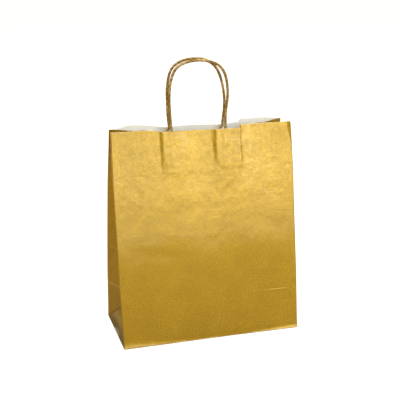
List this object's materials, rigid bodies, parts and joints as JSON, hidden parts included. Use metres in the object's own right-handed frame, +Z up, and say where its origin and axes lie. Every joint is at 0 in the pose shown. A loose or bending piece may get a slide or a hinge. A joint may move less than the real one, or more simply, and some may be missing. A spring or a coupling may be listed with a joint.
{
  "type": "gift bag",
  "caption": "Block-bottom paper gift bag, mouth nearly shut, side gussets folded in, with two upright loops of twisted cord as handles.",
  "frame": {"origin": "centre of the base, on the surface that the bag stands on", "axes": "+X across the width, to the right seen from the front; +Y to the back; +Z up"},
  "size_m": [0.24, 0.1118, 0.3624],
  "materials": {
    "gold_paper": "satin metallic-ink print on coated paper",
    "white_paper": "matt uncoated white paper",
    "twisted_cord": "tightly twisted two-ply paper cord, satin"
  },
  "bodies": {
    "base": {"base_front_flap": "gold_paper", "base_rear_flap": "gold_paper", "base_left_tuck": "white_paper", "base_right_tuck": "white_paper"},
    "front_wall": {"front_panel": "gold_paper", "front_patch_backing": "white_paper", "front_patch_cover": "white_paper", "front_handle_ends": "twisted_cord"},
    "rear_wall": {"rear_panel": "gold_paper", "rear_patch_backing": "white_paper", "rear_patch_cover": "white_paper", "rear_handle_ends": "twisted_cord", "side_seam_lap": "white_paper"},
    "left_front_side": {"left_front_gusset": "gold_paper"},
    "left_front_corner": {"left_front_gusset_foot": "gold_paper"},
    "left_rear_side": {"left_rear_gusset": "gold_paper"},
    "left_rear_corner": {"left_rear_gusset_foot": "gold_paper"},
    "left_toe": {"left_gusset_toe": "gold_paper"},
    "right_front_side": {"right_front_gusset": "gold_paper"},
    "right_front_corner": {"right_front_gusset_foot": "gold_paper"},
    "right_rear_side": {"right_rear_gusset": "gold_paper"},
    "right_rear_corner": {"right_rear_gusset_foot": "gold_paper"},
    "right_toe": {"right_gusset_toe": "gold_paper"},
    "front_loop": {"front_handle": "twisted_cord"},
    "rear_loop": {"rear_handle": "twisted_cord"}
  },
  "joints": [
    {"name": "front_wall_open", "type": "hinge", "parent": "base", "child": "front_wall", "pos_m": [0, -0.056, 0], "axis": [1, 0, 0], "range_deg": [0, 10]},
    {"name": "rear_wall_open", "type": "hinge", "parent": "base", "child": "rear_wall", "pos_m": [0, 0.056, 0], "axis": [-1, 0, 0], "range_deg": [0, 10]},
    {"name": "left_front_gusset_fold", "type": "hinge", "parent": "front_wall", "child": "left_front_side", "pos_m": [-0.12, -0.05521, -0.00014], "axis": [0, 0.1736, 0.9848], "range_deg": [0, 83.39], "deforming": ["left_front_gusset"]},
    {"name": "left_front_foot_fold", "type": "hinge", "parent": "front_wall", "child": "left_front_corner", "pos_m": [-0.12, -0.05521, -0.00014], "axis": [0, 0.1736, 0.9848], "range_deg": [0, 33.33], "deforming": ["left_front_gusset_foot"]},
    {"name": "left_rear_gusset_fold", "type": "hinge", "parent": "rear_wall", "child": "left_rear_side", "pos_m": [-0.12, 0.05521, -0.00014], "axis": [0, 0.1736, -0.9848], "range_deg": [0, 83.39], "deforming": ["left_rear_gusset"]},
    {"name": "left_rear_foot_fold", "type": "hinge", "parent": "rear_wall", "child": "left_rear_corner", "pos_m": [-0.12, 0.05521, -0.00014], "axis": [0, 0.1736, -0.9848], "range_deg": [0, 33.33], "deforming": ["left_rear_gusset_foot"]},
    {"name": "left_toe_fold", "type": "hinge", "parent": "base", "child": "left_toe", "pos_m": [-0.12, 0, 0], "axis": [0, -1, 0], "range_deg": [0, 33.33]},
    {"name": "right_front_gusset_fold", "type": "hinge", "parent": "front_wall", "child": "right_front_side", "pos_m": [0.12, -0.05521, -0.00014], "axis": [0, -0.1736, -0.9848], "range_deg": [0, 83.39], "deforming": ["right_front_gusset"]},
    {"name": "right_front_foot_fold", "type": "hinge", "parent": "front_wall", "child": "right_front_corner", "pos_m": [0.12, -0.05521, -0.00014], "axis": [0, -0.1736, -0.9848], "range_deg": [0, 33.33], "deforming": ["right_front_gusset_foot"]},
    {"name": "right_rear_gusset_fold", "type": "hinge", "parent": "rear_wall", "child": "right_rear_side", "pos_m": [0.12, 0.05521, -0.00014], "axis": [0, -0.1736, 0.9848], "range_deg": [0, 83.39], "deforming": ["right_rear_gusset"]},
    {"name": "right_rear_foot_fold", "type": "hinge", "parent": "rear_wall", "child": "right_rear_corner", "pos_m": [0.12, 0.05521, -0.00014], "axis": [0, -0.1736, 0.9848], "range_deg": [0, 33.33], "deforming": ["right_rear_gusset_foot"]},
    {"name": "right_toe_fold", "type": "hinge", "parent": "base", "child": "right_toe", "pos_m": [0.12, 0, 0], "axis": [0, 1, 0], "range_deg": [0, 33.33]},
    {"name": "front_handle_swing", "type": "hinge", "parent": "front_wall", "child": "front_loop", "pos_m": [-0.005, -0.0048, 0.2748], "axis": [1, 0, 0], "range_deg": [0, 100]},
    {"name": "rear_handle_swing", "type": "hinge", "parent": "rear_wall", "child": "rear_loop", "pos_m": [-0.005, 0.0048, 0.2748], "axis": [-1, 0, 0], "range_deg": [0, 100]}
  ],
  "couplings": [
    {"joint": "rear_wall_open", "follows": "front_wall_open", "ratio": 1},
    {"joint": "left_front_gusset_fold", "follows": "front_wall_open", "ratio": 8.3428},
    {"joint": "left_front_foot_fold", "follows": "front_wall_open", "ratio": 3.3344},
    {"joint": "left_rear_gusset_fold", "follows": "front_wall_open", "ratio": 8.3428},
    {"joint": "left_rear_foot_fold", "follows": "front_wall_open", "ratio": 3.3344},
    {"joint": "left_toe_fold", "follows": "front_wall_open", "ratio": 3.3344},
    {"joint": "right_front_gusset_fold", "follows": "front_wall_open", "ratio": 8.3428},
    {"joint": "right_front_foot_fold", "follows": "front_wall_open", "ratio": 3.3344},
    {"joint": "right_rear_gusset_fold", "follows": "front_wall_open", "ratio": 8.3428},
    {"joint": "right_rear_foot_fold", "follows": "front_wall_open", "ratio": 3.3344},
    {"joint": "right_toe_fold", "follows": "front_wall_open", "ratio": 3.3344}
  ]
}
